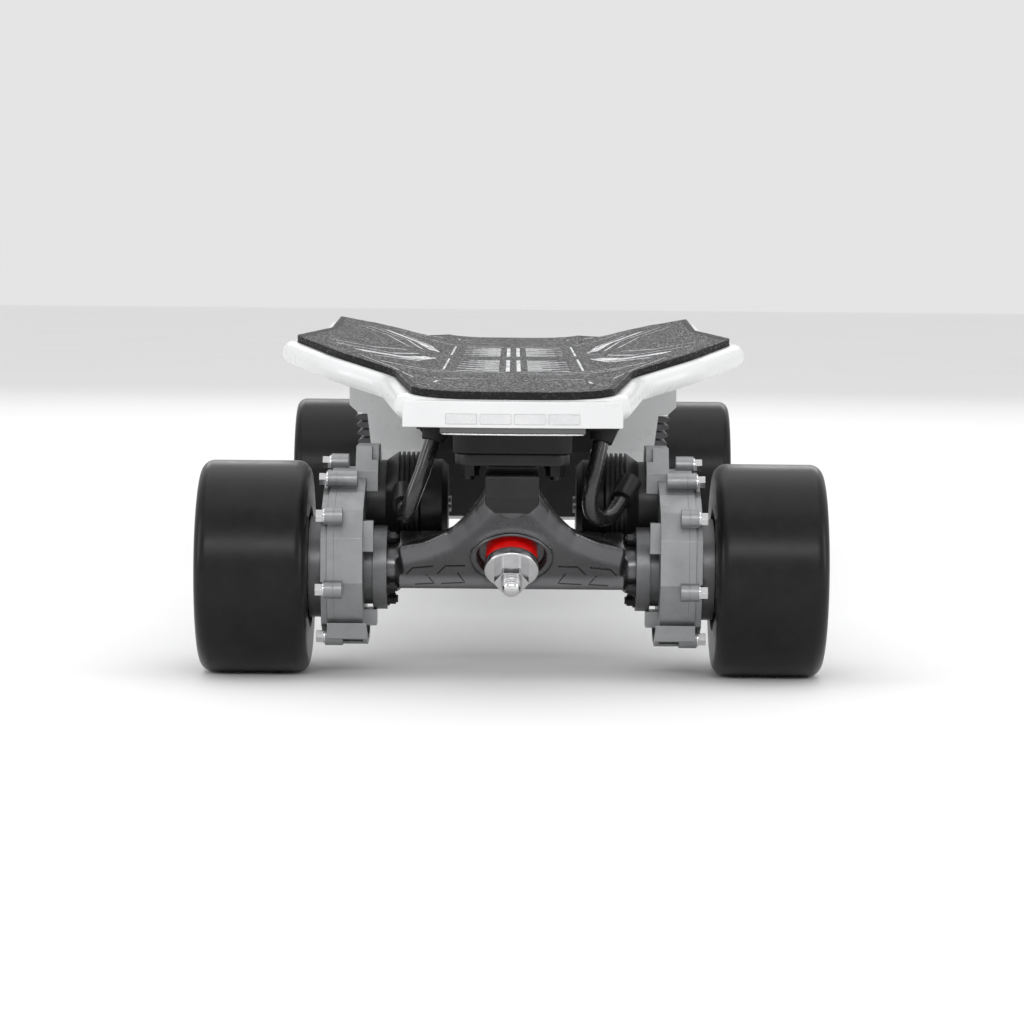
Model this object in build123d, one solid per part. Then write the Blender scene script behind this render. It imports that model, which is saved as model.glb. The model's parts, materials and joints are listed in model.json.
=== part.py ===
"""Electric skateboard with a twin gear drive on the rear truck.

Millimetres, +Z up, +Y towards the nose, +X to the rider's right when facing the nose.
The origin is on the ground under the middle of the board.
Truck parts are drawn in a truck frame: axle at the origin, outboard end of the board towards -Y.
"""

from build123d import *
import os
from math import acos, cos, pi, radians, sin, sqrt, tan

# ---- driving dimensions -------------------------------------------------------------
WHEEL_R = 52.5
WHEEL_W = 54.0
TRACK = 307.0                 # outside face to outside face of the wheels
WHEELBASE = 740.0
AXLE_R = 5.0
CORE_R = 29.0                 # where the tyre meets its core
BEARING_R = 11.0
BEARING_W = 6.0
RUN_GAP = 0.05                # radial running clearance of a bearing on its axle

KING_TILT = 45.0              # kingpin below the horizontal, pointing outboard
KING_Y, KING_Z = -24.0, 9.0   # centre of the hanger's outer seat face
KING_R = 4.8
SEAT_MID = -5.5               # middle of the hanger's seat web, along the kingpin
SEAT_BOARD = -22.0            # where the board side bushing meets the baseplate
PIVOT_T = 37.0                # face of the pivot block above the kingpin, along the steering axis

BEAM_HALF = 56.0              # cast beam, half length
CLAMP_X = (61.3, 72.5)        # gearbox clamp ring
BOX_X = (72.5, 86.5)          # gearbox housing
COVER_X = (86.5, 93.0)        # gearbox cover
MODULE = 1.5
GEAR_TEETH = 39
PINION_TEETH = 17
CENTRES = MODULE * (GEAR_TEETH + PINION_TEETH) / 2
MOTOR_Y = MOTOR_Z = CENTRES / sqrt(2)
SHAFT_R = 4.0                  # motor shaft
PRESSURE = radians(20)
BACKLASH = 0.16               # taken off each tooth at the pitch circle

PLATE_Z = (54.5, 60.5)        # baseplate above the axle
BOLT_X, BOLT_Y = 20.65, (-39.0, 15.0)
DECK_TILT = 0.3               # the geared rear truck rides lower than the front one, in degrees
DECK_TOP = 145.4              # top of the grip pad at the middle of the board
DECK_T = 16.0
GRIP_T = 3.6
RAIL = 8.0                    # white rim round the grip pad
GRIP_OUTLINE = [(47.5, -454), (60.5, -318), (91, -292), (116, -232), (109.5, 0)]
GRIP_CORNERS = (9, 24, 34, 40)
BOX_END = 220.0               # battery enclosure, half length
FLOOR_Z = 12.0 + WHEEL_R      # underside of the enclosure

INNER_X = TRACK / 2 - WHEEL_W # inner face of a wheel
SIDES = {"left": -1, "right": 1}


# ---- small helpers ------------------------------------------------------------------
def face_yz(points, x):
    return Plane.YZ.offset(x) * make_face(Polyline(*points, close=True))


def prism_x(points, x0, x1):
    """Polygon of (y, z) points pulled from x0 to x1."""
    return extrude(face_yz(points, x0), amount=x1 - x0)


def prism_y(points, y0, y1):
    """Polygon of (x, z) points pulled from y0 to y1."""
    outline = Plane.XZ.offset(-y0) * make_face(Polyline(*points, close=True))
    return extrude(outline, amount=-(y1 - y0))


def rod_x(radius, x0, x1, y=0.0, z=0.0):
    return Pos((x0 + x1) / 2, y, z) * Rot(0, 90, 0) * Cylinder(radius, abs(x1 - x0))


def hex_x(across, x0, x1, y=0.0, z=0.0):
    head = RegularPolygon(across / 2, 6, major_radius=False)
    return extrude(Plane.YZ.offset(x0) * Pos(y, z) * head, amount=x1 - x0)


def turn_x(profile):
    """Solid of revolution about X from (x, radius) points."""
    return revolve(make_face(Polyline(*[(x, r, 0) for x, r in profile], close=True)), Axis.X)


def mirrored(shape, side):
    """The right-hand drawing of a part, on the side asked for."""
    return shape if side > 0 else mirror(shape, about=Plane.YZ)


def rear(shape):
    return Pos(0, -WHEELBASE / 2, WHEEL_R) * shape


def front(shape):
    return Pos(0, WHEELBASE / 2, WHEEL_R) * Rot(0, 0, 180) * shape


def save(name, *shapes):
    solids = [solid for shape in shapes for solid in shape.solids()]
    export_step(solids[0] if len(solids) == 1 else Compound(children=solids), f"parts/{name}.step")


# ---- kingpin frame: local z runs down the kingpin, local y up the steering axis ------
KING = Plane(
    origin=(0, KING_Y, KING_Z),
    x_dir=(1, 0, 0),
    z_dir=(0, -cos(radians(KING_TILT)), -sin(radians(KING_TILT))),
)


def rod_king(radius, s0, s1, top=None):
    """Cylinder or cone round the kingpin, from s0 to s1 along it."""
    if top is None:
        return KING * Pos(0, 0, (s0 + s1) / 2) * Cylinder(radius, s1 - s0)
    return KING * Pos(0, 0, (s0 + s1) / 2) * Cone(radius, top, s1 - s0)


def hex_king(across, s0, s1):
    return KING * Pos(0, 0, s0) * extrude(RegularPolygon(across / 2, 6, major_radius=False), amount=s1 - s0)


def plate_king(points, s0, s1):
    """Polygon of (x, t) points, t up the steering axis, pulled along the kingpin."""
    return KING * Pos(0, 0, s0) * extrude(make_face(Polyline(*points, close=True)), amount=s1 - s0)


def rod_pivot(radius, t0, t1, top=None):
    """Cylinder or cone along the steering axis, from t0 to t1."""
    place = KING * Pos(0, (t0 + t1) / 2, SEAT_MID) * Rot(-90, 0, 0)
    return place * (Cylinder(radius, t1 - t0) if top is None else Cone(radius, top, t1 - t0))


# ---- trucks ---------------------------------------------------------------------------
SEAT_R = 16.8
WEB_S = (-8.0, -3.0)          # solid web of the seat between its two pockets
SHOULDER_T = 36.0             # top of the hanger, just short of the pivot block
NOSE_R = 5.2


def both_sides(half):
    """Closed outline from the right-hand half of its points."""
    return half + [(-x, other) for x, other in reversed(half)]


def face_king(half, s):
    return KING * Pos(0, 0, s) * make_face(Polyline(*both_sides(half), close=True))


def hanger(end_x, stub_x):
    """Cast hanger: beam, triangular face with the bushing seat, pivot nose and axle stubs."""
    section = [(-13, -9.5), (-13, 2.5), (-3, 14), (4, 18), (10, 18), (13, 12), (13, -9.5)]
    beam = prism_x(section, -end_x, end_x)
    beam = fillet(beam.edges().filter_by(Axis.X), 1.8)
    crest = [(9.0, 30.5), (15.5, 20.5), (21, 13), (28.5, 4), (40, -3), (54, -8.5), (54, -26)]
    middle = [(12.4, SHOULDER_T), (18, 27.5), (24.5, 18.5), (32.5, 9.5), (43, 2.5), (55.9, -2), (55.9, -26)]
    root = [(12.0, SHOULDER_T), (15.5, 26), (21, 14.5), (28, 4), (38, -3), (48, -8), (48, -26)]
    shell = loft([face_king(crest, 0.8), face_king(middle, -5.5)], ruled=True)
    shell += loft([face_king(middle, -5.5), face_king(root, -15)], ruled=True)
    shell &= Pos(0, -22, 24.5) * Box(120, 70, 68)
    body = beam + shell + rod_king(20, WEB_S[0] - 5, 2.4)
    body -= rod_king(SEAT_R, WEB_S[1], 20)
    body -= rod_king(15, WEB_S[0] - 24, WEB_S[0])
    body -= rod_king(8, -34, 20)
    body -= prism_x([(-6, 8), (-6, 40), (40, 40), (40, 19), (14, 19), (4, 18.2)], -15.5, 15.5)
    body += rod_pivot(9.5, SHOULDER_T - 6, PIVOT_T + 2, top=NOSE_R) + rod_pivot(NOSE_R, PIVOT_T + 2, PIVOT_T + 8)
    body += rod_x(12, -stub_x, stub_x) & (rod_x(30, end_x - 1, stub_x) + rod_x(30, -stub_x, -end_x + 1))
    for side in SIDES.values():
        body -= mirrored(rod_x(27.2, 45.2, 70, MOTOR_Y, MOTOR_Z) + rod_x(23.6, 28, 46, MOTOR_Y, MOTOR_Z), side)
    return body - rod_x(AXLE_R, -200, 200)


def pivot_cup():
    cup = rod_pivot(8.0, PIVOT_T + 2.2, PIVOT_T + 11)
    return cup - rod_pivot(NOSE_R + 0.07, PIVOT_T, PIVOT_T + 8.4)


def baseplate():
    """Plate under the riser, slanted kingpin boss and the pivot block at the outboard end."""
    plate = Pos(0, -21, sum(PLATE_Z) / 2) * Box(55, 84, PLATE_Z[1] - PLATE_Z[0])
    plate = fillet(plate.edges().filter_by(Axis.Z), 9)
    seat = KING_Y + KING_Z - SEAT_BOARD * sqrt(2)       # y + z on the plane of the bushing seat
    boss = prism_x([(seat - 32, 32), (seat - 20, 20), (6, 27), (20, 34), (24, 55), (-14, 55)], -13, 13)
    boss -= rod_king(11, -80, -42)
    block = prism_x(
        [(-63, 50), (-63, 39), (-40, 16), (-20, 36), (-26, 50), (-30, 56), (-50, 56), (-51, 50)], -12.9, 12.9
    )
    front_view = [(-12.9, PIVOT_T + 6), (-12.9, 80), (12.9, 80), (12.9, PIVOT_T + 6), (8.5, PIVOT_T), (-8.5, PIVOT_T)]
    block &= plate_king(front_view, -60, 60)
    whole = plate + boss + block
    whole -= rod_pivot(8.0, PIVOT_T - 20, PIVOT_T + 11)
    whole -= rod_king(KING_R, -60, 0)
    for x in (-BOLT_X, BOLT_X):
        for y in BOLT_Y:
            whole -= Pos(x, y, 57) * Cylinder(2.75, 30)
    return whole


def riser(deck, turn):
    """Pad between the baseplate and the deck, trimmed to the deck's underside."""
    pad = Pos(0, -21, (PLATE_Z[1] + 90) / 2) * Box(57, 88, 90 - PLATE_Z[1])
    pad = fillet(pad.edges().filter_by(Axis.Z), 9)
    for x in (-BOLT_X, BOLT_X):
        for y in BOLT_Y:
            pad -= Pos(x, y, 68) * Cylinder(2.75, 60)
    return (turn(pad) - deck).solids().sort_by(Axis.Z)[0]


def kingpin():
    pin = rod_king(KING_R, SEAT_BOARD - 20, 25)
    pin = fillet(pin.edges().filter_by(GeomType.CIRCLE).sort_by(Axis.Y)[0], 3.6)
    return pin + hex_king(15, SEAT_BOARD - 26, SEAT_BOARD - 20)


def kingpin_nut():
    nut = hex_king(15, 10.9, 18.4) & rod_king(8.4, 10.9, 18.4)
    return nut - rod_king(KING_R, 5, 30)


def kingpin_washers():
    cup = rod_king(13.3, 6.6, 10.9) - rod_king(12.1, 5, 9.2) - rod_king(KING_R, 0, 20)
    flat = rod_king(13.3, SEAT_BOARD, SEAT_BOARD + 1.5) - rod_king(KING_R, -40, 0)
    return [fillet(cup.edges().filter_by(GeomType.CIRCLE).sort_by(Axis.Y)[0], 0.8), flat]


def bushings():
    outer = rod_king(12.7, WEB_S[1], 3.0) + rod_king(12.7, 3.0, 9.2, top=11.5)
    inner = rod_king(12.9, SEAT_BOARD + 1.5, WEB_S[0])
    return [part - rod_king(KING_R + 0.4, -60, 40) for part in (outer, inner)]


def truck_bolts(turn):
    """Countersunk deck bolts with the lock nuts under the baseplate."""
    bolts, nuts = [], []
    lean = -1 if turn is rear else 1
    for x in (-BOLT_X, BOLT_X):
        for y in BOLT_Y:
            rise = (lean * (WHEELBASE / 2) - lean * y) * tan(radians(DECK_TILT))
            top = DECK_TOP - WHEEL_R - GRIP_T + rise - 0.1
            shank = Pos(x, y, (46.5 + top) / 2) * Cylinder(2.5, top - 46.5)
            head = Pos(x, y, top - 1.6) * Cone(2.5, 4.6, 3.2)
            bolts.append(turn(shank + head))
            nut = Pos(x, y, 48.3) * extrude(RegularPolygon(4.0, 6, major_radius=False), amount=5.2)
            washer = Pos(x, y, 54.0) * Cylinder(5.2, 1.0)
            nuts.append(turn((nut + washer) - Pos(x, y, 50) * Cylinder(2.5, 30)))
    return bolts, nuts


def axle():
    rod = rod_x(AXLE_R, -TRACK / 2 + 1.5, TRACK / 2 - 1.5)
    return chamfer(rod.edges().filter_by(GeomType.CIRCLE), 0.6)


def axle_nuts():
    outer = TRACK / 2 - 4.5
    nut = hex_x(15, outer - 8, outer) & rod_x(8.3, outer - 8, outer)
    return [mirrored(nut - rod_x(AXLE_R, 0, 200), side) for side in SIDES.values()]


# ---- wheels: right-hand side drawings -------------------------------------------------
HUB_IN, HUB_OUT = INNER_X + 4.0, INNER_X + WHEEL_W - 13.0


def circles(shape, radius):
    """Circular edges of a given radius."""
    return shape.edges().filter_by(GeomType.CIRCLE).filter_by(lambda edge: abs(edge.radius - radius) < 0.01)


def tyre(side):
    x0, x1 = INNER_X, INNER_X + WHEEL_W
    ring = rod_x(WHEEL_R, x0, x1) - rod_x(CORE_R, x0 - 1, x1 + 1)
    ring = fillet(circles(ring, WHEEL_R), 6.5)
    return mirrored(chamfer(circles(ring, CORE_R), 1.5), side)


def wheel_hub(side):
    """Five-spoke core with a bearing seat in each end of its boss."""
    rim = rod_x(CORE_R, HUB_IN, HUB_OUT + 6) - rod_x(CORE_R - 3.5, HUB_IN - 1, HUB_OUT + 8)
    hub = rim + rod_x(14, HUB_IN, HUB_OUT) + rod_x(CORE_R - 2, HUB_IN + 14, HUB_IN + 17)
    for i in range(5):
        arm = Pos((HUB_IN + HUB_OUT) / 2, 0, 19.5) * Box(HUB_OUT - HUB_IN - 8, 7, 16)
        hub += Rot(72 * i, 0, 0) * arm
    hub -= rod_x(8, HUB_IN - 5, HUB_OUT + 5)
    hub -= rod_x(BEARING_R, HUB_IN - 1, HUB_IN + BEARING_W)
    hub -= rod_x(BEARING_R, HUB_OUT - BEARING_W, HUB_OUT + 1)
    for i in range(5):
        hub -= Rot(72 * i + 36, 0, 0) * rod_x(3.0, HUB_IN - 1, HUB_IN + 9, z=18.5)
    return mirrored(hub, side)


def bearing(x0, side):
    race = rod_x(BEARING_R, x0, x0 + BEARING_W) - rod_x(AXLE_R + RUN_GAP, x0 - 1, x0 + BEARING_W + 1)
    groove = rod_x(9.4, x0 - 1, x0 + 0.5) - rod_x(6.8, x0 - 2, x0 + 1)
    back = Pos(BEARING_W + 0.5, 0, 0) * groove
    return mirrored(race - groove - back, side)


# ---- gears -----------------------------------------------------------------------------
def involute(radius, angle):
    """Point of the involute of a base circle, after the string has unwound by angle."""
    return (
        radius * (cos(angle) + angle * sin(angle)),
        radius * (sin(angle) - angle * cos(angle)),
    )


def gear_face(teeth, clearance=0.4):
    """Spur gear outline in its own plane, with a tooth centred on local +x."""
    pitch = MODULE * teeth / 2
    base = pitch * cos(PRESSURE)
    tip = pitch + MODULE * 0.95
    root = pitch - MODULE - clearance
    flank_at_pitch = tan(PRESSURE) - PRESSURE
    half = pi / (2 * teeth) - BACKLASH / (2 * pitch) + flank_at_pitch
    steps = 4
    last = sqrt((tip / base) ** 2 - 1)
    first = sqrt(max((root / base) ** 2 - 1, 0.0))
    flank = []
    for i in range(steps + 1):
        x, y = involute(base, first + (last - first) * i / steps)
        flank.append((x * cos(-half) - y * sin(-half), x * sin(-half) + y * cos(-half)))
    if root < base:
        flank.insert(0, (root * cos(half + 0.01), -root * sin(half + 0.01)))
    tooth = flank + [(x, -y) for x, y in reversed(flank)]
    outline = []
    for i in range(teeth):
        a = 2 * pi * i / teeth
        outline += [(x * cos(a) - y * sin(a), x * sin(a) + y * cos(a)) for x, y in tooth]
    return make_face(Polyline(*outline, close=True))


GEAR_X = (76.0, 84.0)
LINE_OF_CENTRES = 45.0        # degrees from +Y towards +Z


def drive_gear(side):
    """Ring gear, sleeve through the cover, drive flange and the five pegs that enter the hub."""
    blank = extrude(Plane.YZ.offset(GEAR_X[0]) * Rot(0, 0, LINE_OF_CENTRES) * gear_face(GEAR_TEETH), amount=8)
    gear = blank + rod_x(14, GEAR_X[0], COVER_X[1] + 1) + rod_x(25, COVER_X[1] + 0.6, INNER_X)
    gear += rod_x(14, INNER_X - 1, HUB_IN)
    for i in range(6):
        gear -= Rot(60 * i + 15, 0, 0) * rod_x(4.6, GEAR_X[0] - 1, GEAR_X[1] + 1, z=20.5)
    for i in range(5):
        gear += Rot(72 * i + 36, 0, 0) * rod_x(2.9, INNER_X - 1, HUB_IN + 8.5, z=18.5)
    gear -= rod_x(8, 60, 120)
    gear -= rod_x(BEARING_R, GEAR_X[0] - 1, GEAR_X[0] + BEARING_W)
    return mirrored(gear, side)


def pinion(side):
    """Pinion with a tooth space facing the drive gear."""
    space = 180.0 / PINION_TEETH
    turn = LINE_OF_CENTRES + 180.0 + space
    blank = Plane.YZ.offset(GEAR_X[0] - 0.3) * Pos(MOTOR_Y, MOTOR_Z) * Rot(0, 0, turn) * gear_face(PINION_TEETH)
    body = extrude(blank, amount=8.6)
    return mirrored(body - rod_x(4, 60, 100, MOTOR_Y, MOTOR_Z), side)


# ---- gearbox and motor, right-hand side drawings ---------------------------------------
BOX_OUTLINE = [
    (-35.0, 17.0), (-35.0, -5.0), (-24.0, -27.0), (-7.0, -35.0), (10.0, -34.0), (27.0, -23.0),
    (42.0, 8.0), (49.0, 24.0), (47.5, 38.0), (38.0, 47.5), (22.0, 47.5), (-10.0, 37.5), (-26.0, 30.0),
]
MOTOR_NOSE = (57.0, 63.0)
LUGS = [(-1.0, 43.5), (30.0, 50.0), (52.0, 29.0), (29.0, -26.5), (-20.0, -32.5), (-35.5, -8.0), (-30.5, 27.5)]
LUG_R = 4.4


def lug_rods(radius, x0, x1):
    return [rod_x(radius, x0, x1, y, z) for y, z in LUGS]


def gearbox_cavity(x0, x1):
    """Room for the two meshed gears."""
    return rod_x(31.8, x0, x1) + rod_x(15.4, x0, x1, MOTOR_Y, MOTOR_Z)


def gearbox_housing(side):
    box = prism_x(BOX_OUTLINE, *BOX_X)
    for lug in lug_rods(LUG_R, BOX_X[1] - 4.2, BOX_X[1]):
        box += lug
    box += rod_x(LUG_R, BOX_X[0] + 4, BOX_X[1], *LUGS[0])
    flange = prism_x([(9, 30), (9, 47), (16, 59), (44, 59), (53, 50), (53, 18), (40, 12)], 66.8, BOX_X[0] + 5.5)
    step = Pos(68.0, 12, 57) * Box(4, 12, 9)
    box += flange - step
    box += Pos(70.5, -25.5, 17.5) * Box(6, 6, 15) + Pos(70.0, 0, -24.5) * Box(7, 13, 8)
    box -= gearbox_cavity(GEAR_X[0] - 1, 100)
    box -= rod_x(21.8, 50, BOX_X[0], MOTOR_Y, MOTOR_Z)
    box -= rod_x(SHAFT_R + 0.06, 60, 80, MOTOR_Y, MOTOR_Z)
    box -= rod_x(12, 60, BOX_X[0] + 1)
    box -= rod_x(AXLE_R + 0.5, 60, 80)
    for rod in lug_rods(1.6, BOX_X[1] - 4, BOX_X[1] + 1):
        box -= rod
    return mirrored(box, side)


def gearbox_cover(side):
    inset = [(y * 0.965, z * 0.965) for y, z in BOX_OUTLINE]
    cover = prism_x(BOX_OUTLINE, COVER_X[0], COVER_X[0] + 3.4) + prism_x(inset, COVER_X[0] + 3.4, COVER_X[1])
    cover -= prism_x([(14, 22), (22, 14), (48, 40), (40, 48)], COVER_X[0] + 4.9, COVER_X[1] + 1)
    cover += rod_x(13.5, COVER_X[0] + 3.4, COVER_X[1], MOTOR_Y, MOTOR_Z)
    for lug in lug_rods(LUG_R, COVER_X[0], COVER_X[0] + 4.5):
        cover += lug
    cover -= rod_x(15.5, 80, 100)
    for rod in lug_rods(1.6, 80, 100) + lug_rods(3.9, COVER_X[0] + 4.5, 100):
        cover -= rod
    return mirrored(cover, side)


def gearbox_bolts(side):
    """Cover screws: flanged hex heads outside the cover, shanks into the housing."""
    head_x = COVER_X[0] + 4.5
    bolts = []
    for y, z in LUGS:
        shank = rod_x(1.6, BOX_X[1] - 3.8, head_x + 1, y, z)
        head = hex_x(5.6, head_x + 0.8, head_x + 4.4, y, z) + rod_x(3.6, head_x, head_x + 0.8, y, z)
        bolts.append(mirrored(shank + head, side))
    return bolts


def gearbox_skid(side):
    """Curved guard under the housing."""
    profile = [(-27.5, -25.2), (-26.5, -33.0), (-9, -37.4), (11, -36.6), (28.6, -24.6), (27.3, -22.8),
               (10.2, -34.15), (-7, -35.15), (-24.1, -27.15)]
    skid = prism_x(profile, 70.6, 90.0)
    whole = prism_x(BOX_OUTLINE, *BOX_X)
    for lug in lug_rods(LUG_R + 0.1, BOX_X[0], COVER_X[1]):
        whole += lug
    return mirrored(skid - whole, side)


CLAMP_ANGLES = (10, 125, 175, 235)   # from straight up, turning towards the tail


def gearbox_clamp(side):
    """Ring that holds the gearbox on the hanger stub, relieved round the motor."""
    ring = rod_x(20.8, CLAMP_X[0], CLAMP_X[0] + 6.8) + rod_x(18.3, CLAMP_X[0] + 6.8, CLAMP_X[1])
    ring -= rod_x(12, 60, 80)
    ring -= rod_x(23.4, 60, 80, MOTOR_Y, MOTOR_Z)
    ring -= Pos(70.5, -25.5, 17.5) * Box(6, 6, 15) + Pos(70.0, 0, -24.5) * Box(7, 13, 8)
    for angle in CLAMP_ANGLES:
        ring -= Rot(angle, 0, 0) * rod_x(1.9, 60, 75, z=15.6)
    return mirrored(ring, side)


def clamp_bolts(side):
    bolts = []
    for angle in CLAMP_ANGLES:
        head = hex_x(5.4, CLAMP_X[0] - 4.2, CLAMP_X[0] - 1.2, z=15.6)
        head += rod_x(3.5, CLAMP_X[0] - 1.2, CLAMP_X[0], z=15.6)
        head += rod_x(1.9, CLAMP_X[0] - 5.2, CLAMP_X[1], z=15.6)
        bolts.append(mirrored(Rot(angle, 0, 0) * head, side))
    return bolts


CAN_R = 22.5
BELL_R = 26.0
CAN_X = 32.0


def motor_case(side):
    """Sealed can: finned bell towards the gearbox, plain body and end cap inboard."""
    profile = [
        (CAN_X, SHAFT_R + 0.06), (CAN_X, CAN_R - 3), (CAN_X + 3, CAN_R), (45.5, CAN_R), (46.5, BELL_R),
        (MOTOR_NOSE[0], BELL_R),
        (MOTOR_NOSE[1], 21.8), (BOX_X[0], 21.8), (BOX_X[0], 10), (60, 10), (60, 19.6), (35, 19.6), (35, SHAFT_R + 0.06),
    ]
    case = turn_x(profile)
    for x in (48.0, 50.4, 52.8, 55.2):
        case -= rod_x(40, x, x + 1.1) - rod_x(24.4, x - 1, x + 3)
    return mirrored(Pos(0, MOTOR_Y, MOTOR_Z) * case, side)


def motor_stator(side):
    core = rod_x(19.6, 38, 56) - rod_x(13.0, 30, 60)
    for i in range(12):
        core -= Rot(30 * i, 0, 0) * Pos(47, 0, 15.8) * Box(30, 2.4, 4.4)
    return mirrored(Pos(0, MOTOR_Y, MOTOR_Z) * core, side)


def rotor(side):
    spin = rod_x(12.3, 38.5, 55.5) + rod_x(SHAFT_R, CAN_X - 1.4, GEAR_X[1] + 1.2) + rod_x(7, 55.5, 58)
    return mirrored(Pos(0, MOTOR_Y, MOTOR_Z) * spin, side)


# ---- motor cables ------------------------------------------------------------------------
CABLE_R = 3.9
GLAND_TOP = 77.4


def cable_route(side):
    """Points of a cable from the gland under the deck, down over the beam and up to the motor.

    Both cables lean to the rider's left, so the two routes aren't mirror images.
    """
    if side < 0:
        return [(-38.5, -24, 66), (-43, -27, 51), (-48, -28.5, 38), (-51.5, -23.5, 28.5), (-53, -13, 26),
                (-53.5, -3.5, 31)]
    return [(43.5, -24, 66), (40.5, -28, 52), (37.5, -29, 39), (38.5, -25.5, 29), (44.5, -17.5, 25.5),
            (50.5, -8.5, 28.5), (54, -1, 34.5)]


def corner_radii(points):
    """The widest tangent arc that each corner of the route leaves room for."""
    radii = []
    for a, b, c in zip(points, points[1:], points[2:]):
        before, after = Vector(*b) - Vector(*a), Vector(*c) - Vector(*b)
        turn = acos(before.normalized().dot(after.normalized()))
        radii.append(0.45 * min(before.length, after.length) / tan(turn / 2))
    return radii


def motor_cable(side):
    points = cable_route(side)
    radii = corner_radii(points)
    path = FilletPolyline(*points, radius=radii)
    start = Vector(*points[1]) - Vector(*points[0])
    tube = sweep(Plane(points[0], z_dir=start) * Circle(CABLE_R), path=path)
    print("cable", side, "radii", [round(r, 1) for r in radii], "length", round(path.length, 1),
          "volume", round(tube.volume), "section x length", round(pi * CABLE_R**2 * path.length))
    return tube


def route_end(points, back, length, radius, inner):
    """Sleeve round an end of the route: it starts back mm before the end and runs outwards."""
    last, prior = Vector(*points[-1]), Vector(*points[-2])
    along = (last - prior).normalized()
    place = Plane(origin=last - along * back, z_dir=along)
    sleeve = place * Pos(0, 0, length / 2) * Cylinder(radius, length)
    return sleeve - place * Pos(0, 0, back / 2) * Cylinder(inner, back) if back else sleeve


def cable_gland(side):
    """Tapered strain relief under the deck."""
    top = cable_route(side)[0]
    following = cable_route(side)[1]
    along = (Vector(*following) - Vector(*top)).normalized()
    place = Plane(origin=Vector(*top), z_dir=along)
    taper = place * Pos(0, 0, -3) * Cone(7.6, 5.4, 10)
    neck = Pos(top[0], top[1], (top[2] + 4 + GLAND_TOP) / 2) * Cylinder(8.5, GLAND_TOP - top[2] - 4)
    return (taper + neck) - place * Pos(0, 0, 4) * Cylinder(CABLE_R, 8)


def motor_port(side):
    """Short boss on the motor bell that the cable enters."""
    points = cable_route(side)
    last, prior = Vector(*points[-1]), Vector(*points[-2])
    place = Plane(origin=last, z_dir=(last - prior).normalized())
    boss = place * Pos(0, 0, 7) * Cylinder(5.6, 14)
    return boss - rod_x(BELL_R - 1, -80, 80, MOTOR_Y, MOTOR_Z)


# ---- deck ----------------------------------------------------------------------------------
SECTION = [(0, 0), (30, 0.2), (46, 1.8), (70, 7.6), (117, 20), (145, 27.4)]


def on_deck(shape):
    """Places a part that is drawn level with the deck on the tilted deck."""
    return Rot(DECK_TILT, 0, 0) * shape


def band(lift, drop):
    """Concave layer the length of the board, between two depths below the deck's top line."""
    half = SECTION[1:]
    curves = []
    for depth in (lift, drop):
        points = [(-x, DECK_TOP + z - depth) for x, z in reversed(half)] + [(0, DECK_TOP - depth)]
        points += [(x, DECK_TOP + z - depth) for x, z in half]
        curves.append(Spline(*points))
    upper, lower = curves
    ends = [Line(upper @ i, lower @ i) for i in (0, 1)]
    outline = Plane.XZ.offset(-600) * make_face([upper, lower, *ends])
    return extrude(outline, amount=1200)


def plan(grow=0.0):
    """Plan outline of the grip pad as a tall prism, grown on every side."""
    right = GRIP_OUTLINE + [(x, -y) for x, y in GRIP_OUTLINE[-2::-1]]
    outline = make_face(Polyline(*both_sides(right), close=True))
    for corner, radius in zip(GRIP_OUTLINE, GRIP_CORNERS):
        same = outline.vertices().filter_by(
            lambda v: abs(abs(v.X) - corner[0]) < 0.01 and abs(abs(v.Y) + corner[1]) < 0.01
        )
        outline = fillet(same, radius)
    if grow:
        outline = offset(outline, amount=grow)
    return extrude(outline, amount=400)


def deck_shell():
    """Moulded deck with a rounded rail; the truck bolts are cut out and the glands let in."""
    slab = band(GRIP_T, DECK_T) & plan(RAIL)
    rims = slab.faces().sort_by(SortBy.AREA)[-2:]
    slab = fillet([edge for rim in rims for edge in rim.edges()], 5.8)
    for screw in enclosure_screws(socket=False):
        slab -= screw
    for turn in (0, 180):
        slab -= Rot(0, 0, turn) * bar_block(40)
    slab = on_deck(slab)
    for turn in (rear, front):
        for bolt in truck_bolts(turn)[0]:
            slab -= bolt
    for side in SIDES.values():
        slab -= rear(cable_gland(side))
    return slab


def grip_pad():
    return on_deck(band(0, GRIP_T) & plan())


# ---- battery enclosure -----------------------------------------------------------------------
SHELL_OUT = [(88, 75), (83.6, 71), (78.4, 70.5), (72.1, 20), (69, 12)]
SHELL_IN = [(75, 67.5), (69.4, 23), (67.2, 15)]
GASKET_T = 1.0
SCREW_X, SCREW_Y = 81.2, (-200, -120, -40, 40, 120, 200)
SCREW_HEAD_Z = 71.5 + WHEEL_R
PORT_Z = 50.0 + WHEEL_R
PORT_Y, BUTTON_Y = 110.0, 75.0
PANEL_X = 80.0


def tub(points, grow=0.0):
    """Enclosure walls from half-section points above the axle, with sloping ends."""
    half = [(points[0][0], 190)] + [(x, z + WHEEL_R) for x, z in points]
    reach = BOX_END + grow
    low, high = FLOOR_Z - 1 - grow, 200
    side_view = [(-reach + 22, low), (-reach, low + 40), (-reach, high), (reach, high), (reach, low + 40),
                 (reach - 22, low)]
    return prism_y(both_sides(half), -reach, reach) & prism_x(side_view, -100, 100)


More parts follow.
